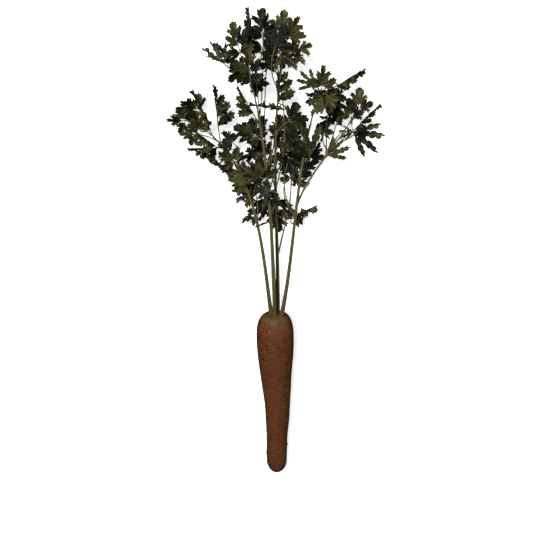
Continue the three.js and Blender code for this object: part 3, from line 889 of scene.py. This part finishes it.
class Tree:
    """The nodes of a material or the sky."""

    def __init__(self, owner):
        owner.use_nodes = True
        self.nodes = owner.node_tree.nodes
        self.links = owner.node_tree.links

    def node(self, kind, inputs, **options):
        """A new node, with its options, and its inputs set or linked."""
        node = self.nodes.new(kind)
        for option, value in options.items():
            setattr(node, option, value)
        self.fill(node, inputs)
        return node

    def fill(self, node, inputs):
        for name, value in inputs.items():
            if isinstance(value, bpy.types.NodeSocket):
                self.links.new(value, node.inputs[name])
            else:
                node.inputs[name].default_value = value

    def mix(self, factor, first, second):
        """A colour between two colours."""
        first, second = [colour if isinstance(colour, bpy.types.NodeSocket) else (*colour, 1)
                         for colour in (first, second)]
        inputs = {"Factor": factor, "A": first, "B": second}
        return self.node("ShaderNodeMix", inputs, data_type="RGBA").outputs["Result"]

    def ramp(self, value, low, high, start=0.0, end=1.0, easing="SMOOTHSTEP"):
        """A value from low to high, brought to between start and end."""
        inputs = {"Value": value, "From Min": low, "From Max": high, "To Min": start, "To Max": end}
        return self.node("ShaderNodeMapRange", inputs, interpolation_type=easing).outputs["Result"]


class Material(Tree):
    """A material, with its values: its noises and the numbers marked on the mesh."""

    def __init__(self, name, noises, marks):
        self.material = bpy.data.materials.new(name)
        super().__init__(self.material)
        self.shader = self.nodes["Principled BSDF"]
        self.values = {noise: self.noise(*settings) for noise, settings in noises.items()}
        for mark in marks:
            node = self.node("ShaderNodeAttribute", {}, attribute_name=mark)
            self.values[mark] = node.outputs["Fac"]

    def noise(self, scale, detail, roughness, stretch):
        place = self.node("ShaderNodeTexCoord", {}).outputs["Object"]
        mapped = self.node("ShaderNodeMapping", {"Vector": place, "Scale": stretch})
        inputs = {"Vector": mapped.outputs["Vector"], "Scale": scale, "Detail": detail,
                  "Roughness": roughness}
        return self.node("ShaderNodeTexNoise", inputs).outputs["Fac"]

    def sum(self, first, second):
        return self.node("ShaderNodeMath", {0: first, 1: second}, operation="ADD").outputs[0]

    def scaled(self, value, factor):
        return self.node("ShaderNodeMath", {0: value, 1: factor}, operation="MULTIPLY").outputs[0]

    def coated(self, colour, coats):
        """A colour with coats of others over it."""
        for name, low, high, most, coat in coats:
            colour = self.mix(self.ramp(self.values[name], low, high, 0, most), colour, coat)
        return colour

    def finish(self, colour, roughness, shine):
        self.fill(self.shader, {"Base Color": colour, "Roughness": roughness,
                                "Specular IOR Level": shine})

    def bump(self, height, distance, strength):
        """Fine relief, its distance in millimetres."""
        inputs = {"Height": height, "Distance": distance * MM, "Strength": strength}
        normal = self.node("ShaderNodeBump", inputs).outputs["Normal"]
        self.fill(self.shader, {"Normal": normal})


ROOT_ORANGE = (0.132, 0.048, 0.014)
ROOT_RUST = (0.12, 0.026, 0.011)
ROOT_RED = (0.115, 0.022, 0.008)
ROOT_TAN = (0.135, 0.068, 0.017)
ROOT_SHOULDER = (0.18, 0.086, 0.025)
ROOT_OLIVE = (0.125, 0.066, 0.02)
ROOT_CROWN = (0.17, 0.108, 0.043)
ROOT_TIP = (0.045, 0.03, 0.02)
ROOT_DARK = (0.022, 0.012, 0.006)
STALK_PALE = (0.135, 0.122, 0.048)
# painted shade in the channel and rib grooves, and dark blotches
STALK_DARK = (0.05, 0.045, 0.02)
STALK_FOOT = (0.08, 0.06, 0.022)
LEAF_LIGHT = (0.086, 0.085, 0.03)
# near-black, shown where colour varies dark at random and as painted shade deep in the tuft
LEAF_DARK = (0.006, 0.007, 0.003)
# painted shade: undersides of leaves coloured near-black
LEAF_UNDER_SHADE = (0.01, 0.014, 0.012)
LEAF_VEIN = (0.12, 0.116, 0.045)

# Each noise: scale, detail, roughness and stretch along x, y and z.
ROOT_NOISES = {
    "patches": (170, 5, 0.7, (1, 1.2, 1)),
    "streaks": (480, 4, 0.7, (0.8, 1.5, 0.8)),
    "grain": (800, 4, 0.75, (1, 1.3, 1)),
    "mottle": (330, 4, 0.7, (1, 1, 1)),
    "bands": (420, 3, 0.65, (0.5, 1.8, 0.5)),
}
STALK_NOISES = {"stripes": (500, 3, 0.6, (1, 0.05, 1)), "blotches": (60, 3, 0.6, (1, 1, 1))}
LEAF_NOISES = {"patches": (90, 3, 0.55, (1, 1, 1)), "grain": (900, 3, 0.6, (1, 1, 1))}
FLOOR_NOISE = (3, 2, 0.5, (1, 1, 1))
FLOOR_MOTTLE = (0.3, 0.7)  # from one grey to the other
ZONE_RAGGEDNESS = 30  # noise added to the distance behind the crown
CROWN_RAGGEDNESS = 18
# Each coat of colour: the value it follows, where it begins and is full, the most it covers,
# and its colour
SHOULDER_COATS = [("zone", 34, 26, 0.5, ROOT_SHOULDER)]
PATCH_COATS = [("blotches", 0.53, 0.58, 0.6, ROOT_TAN)]
PLAIN_COATS = [
    ("mottle", 0.42, 0.55, 1, ROOT_ORANGE),
    ("bands", 0.5, 0.62, 0.7, ROOT_OLIVE),
    ("bands", 0.44, 0.34, 0.5, ROOT_DARK),
]
ROOT_COATS = [
    ("crown", 15, 11, 0.8, ROOT_CROWN),
    ("distance", 158, 184, 0.65, ROOT_TIP),
    ("grain", 0.35, 0.7, 0.5, ROOT_DARK),
    ("crease", 0.05, 0.6, 0.9, ROOT_DARK),
]
STALK_COATS = [
    # the channel and rib grooves darkened as painted shade, with random stripes
    ("shade", 0.12, 0.36, 1, STALK_DARK),
    ("blotches", 0.4, 0.7, 0.2, STALK_DARK),
    ("from_foot", 40, 2, 0.9, STALK_FOOT),
]
# Leaves go from near-black to light by a colour that varies at random, darkened by painted shade on
# leaves deep in the tuft
LEAF_COATS = [
    ("tone", 0.42, 0.78, 1, LEAF_LIGHT),
    ("vein", 0.3, 0.08, 0.3, LEAF_VEIN),
]
# how fully undersides take the painted shade
UNDERSIDE_SHADE_COVER = 0.85
STEM_COVER = 0.8
# Where each begins and is full
PATCHY_ZONE = (68, 50)
RED_PATCHES = (0.46, 0.5)
FLANK_RED = (0.7, 1, 0, 0.6)  # from none to the most
FLANK_ZONE = (60, 40)
LEAF_TONE_SPREAD = 0.18  # against their patches
LEAF_GRAIN = 0.2
STALK_STRIPING = 0.25
VEIN_WIDTH = 0.5
GRAIN_RELIEF = 0.5  # shares of leaf grain and root streaks in the fine relief
STREAK_RELIEF = 1.5
ROOT_BUMP = (0.12, 0.8)  # its height and strength
STALK_BUMP = (0.15, 0.7)
LEAF_BUMP = (0.18, 0.7)
# Two values of a noise, and the roughness at each
ROOT_ROUGHNESS = (0.3, 0.7, 0.5, 0.72)
GREEN_ROUGHNESS = (0.3, 0.7, 0.42, 0.6)
FLOOR_ROUGHNESS = 0.9
ROOT_SHINE = 0.12
STALK_SHINE = 0.15
LEAF_SHINE = 0.3


def root_skin():
    tree = Material("root_skin", ROOT_NOISES, ["distance", "flank", "crease"])
    values = tree.values
    patches, streaks, grain = values["patches"], values["streaks"], values["grain"]
    values["blotches"] = tree.scaled(tree.sum(patches, streaks), 0.5)
    values["zone"] = tree.sum(values["distance"], tree.scaled(patches, ZONE_RAGGEDNESS))
    values["crown"] = tree.sum(values["distance"], tree.scaled(patches, CROWN_RAGGEDNESS))
    between = tree.coated(ROOT_ORANGE, SHOULDER_COATS)
    patchy = tree.mix(tree.ramp(values["blotches"], *RED_PATCHES), ROOT_RED, between)
    patchy = tree.coated(patchy, PATCH_COATS)
    plain = tree.coated(ROOT_RUST, PLAIN_COATS)
    colour = tree.mix(tree.ramp(values["zone"], *PATCHY_ZONE), plain, patchy)
    flank = tree.ramp(values["flank"], *FLANK_RED)
    flank = tree.scaled(flank, tree.ramp(values["zone"], *FLANK_ZONE))
    colour = tree.coated(tree.mix(flank, colour, ROOT_RED), ROOT_COATS)
    tree.finish(colour, tree.ramp(streaks, *ROOT_ROUGHNESS), ROOT_SHINE)
    tree.bump(tree.sum(grain, tree.scaled(streaks, STREAK_RELIEF)), *ROOT_BUMP)
    return tree.material


def stalk_green():
    tree = Material("stalk_green", STALK_NOISES, ["hollow", "from_foot"])
    values = tree.values
    # painted shade in the channel and rib grooves, with random stripes
    values["shade"] = tree.sum(values["hollow"], tree.scaled(values["stripes"], STALK_STRIPING))
    roughness = tree.ramp(values["blotches"], *GREEN_ROUGHNESS)
    tree.finish(tree.coated(STALK_PALE, STALK_COATS), roughness, STALK_SHINE)
    tree.bump(values["stripes"], *STALK_BUMP)
    return tree.material


def leaf_green():
    tree = Material("leaf_green", LEAF_NOISES, ["tone", "vein", "under", "stem"])
    values = tree.values
    grain = values["grain"]
    # random colour variation with painted shade deep in the tuft, patches and grain
    tone = tree.sum(tree.scaled(values["tone"], LEAF_TONE_SPREAD), values["patches"])
    values["tone"] = tree.sum(tone, tree.scaled(grain, LEAF_GRAIN))
    colour = tree.coated(LEAF_DARK, LEAF_COATS)
    # undersides coloured near-black as painted shade
    colour = tree.mix(tree.scaled(values["under"], UNDERSIDE_SHADE_COVER), colour, LEAF_UNDER_SHADE)
    colour = tree.mix(tree.scaled(values["stem"], STEM_COVER), colour, STALK_PALE)
    tree.finish(colour, tree.ramp(grain, *GREEN_ROUGHNESS), LEAF_SHINE)
    raised = tree.ramp(values["vein"], 0, VEIN_WIDTH)
    tree.bump(tree.sum(tree.scaled(grain, GRAIN_RELIEF), raised), *LEAF_BUMP)
    return tree.material


def floor_white():
    tree = Material("floor_white", {"mottle": FLOOR_NOISE}, [])
    greys = [(grey,) * 3 for grey in FLOOR_GREYS]
    colour = tree.mix(tree.ramp(tree.values["mottle"], *FLOOR_MOTTLE), *greys)
    tree.fill(tree.shader, {"Base Color": colour, "Roughness": FLOOR_ROUGHNESS,
                            "Emission Color": (1, 1, 1, 1), "Emission Strength": FLOOR_GLOW})
    return tree.material


# ---- stage ----

def place_camera():
    data = bpy.data.cameras.new("camera")
    data.lens = CAMERA_LENS
    data.sensor_width = SENSOR_WIDTH
    camera = put_in_scene("camera", data)
    tilt = math.radians(CAMERA_TILT)
    away = Vector((0, math.sin(tilt), math.cos(tilt)))
    camera.location = (Vector(CAMERA_AIM) + away * CAMERA_DISTANCE) * MM
    camera.rotation_euler = (-tilt, 0, 0)
    bpy.context.scene.camera = camera


def place_lamps():
    middle = (cad_low + cad_high) / 2
    for name, (place, width, power, colour) in LAMPS.items():
        data = bpy.data.lights.new(name, "AREA")
        data.shape = "DISK"
        data.size = width * MM
        data.energy = power
        data.color = colour
        light = put_in_scene(name, data)
        light.location = Vector(place) * MM
        light.rotation_euler = (middle - light.location).to_track_quat("-Z", "Y").to_euler()


def lay_floor():
    half = FLOOR_SIZE / 2 * MM
    mesh = bpy.data.meshes.new("floor")
    corners = [(-half, -half, 0), (half, -half, 0), (half, half, 0), (-half, half, 0)]
    mesh.from_pydata(corners, [], [(0, 1, 2, 3)])
    mesh.materials.append(floor_white())
    floor = put_in_scene("floor", mesh)
    floor.visible_diffuse = False
    floor.visible_glossy = False


def set_sky():
    """An even sky above the horizon and almost nothing below it."""
    world = bpy.data.worlds.new("sky")
    tree = Tree(world)
    direction = tree.node("ShaderNodeTexCoord", {}).outputs["Generated"]
    height = tree.node("ShaderNodeSeparateXYZ", {"Vector": direction}).outputs["Z"]
    colour = tree.mix(tree.ramp(height, *SKY_EDGE, easing="LINEAR"), SKY_DARK, SKY_COLOUR)
    tree.fill(tree.nodes["Background"], {"Color": colour, "Strength": SKY_STRENGTH})
    bpy.context.scene.world = world
    bpy.context.scene.view_settings.view_transform = "Standard"


# ---- assembly ----

place_camera()
place_lamps()
lay_floor()
set_sky()

root_piece = taproot(root_skin())
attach(root_piece, "root")
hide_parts("taproot")

stalk_material = stalk_green()
leaf_material = leaf_green()
stalks = dict(STALKS)
for side_name, (parent, along, foot, end, path) in SIDE_STALKS.items():
    start = bezier(STALKS[parent][2], along)[0]
    stalks[side_name] = (foot, end, [tuple(start), *path])
for stalk_name, stalk in stalks.items():
    stalk_piece(stalk_name, stalk, stalk_name in STALKS, stalk_material)

number = 0
for kind, table in (("leaf", LEAVES), ("inner_leaf", INNER_LEAVES)):
    for stalk_name, rows in table.items():
        for index, row in enumerate(rows, 1):
            number += 1
            leaf_name = f"{stalk_name}_{kind}_{index}"
            # inner leaves near the tuft's middle get painted shade
            depth = tuft_painted_shade(row) if table is INNER_LEAVES else 0
            leaf = leaf_piece(leaf_name, stalks[stalk_name], row, number, depth, leaf_material)
            if table is LEAVES:
                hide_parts(leaf_name)
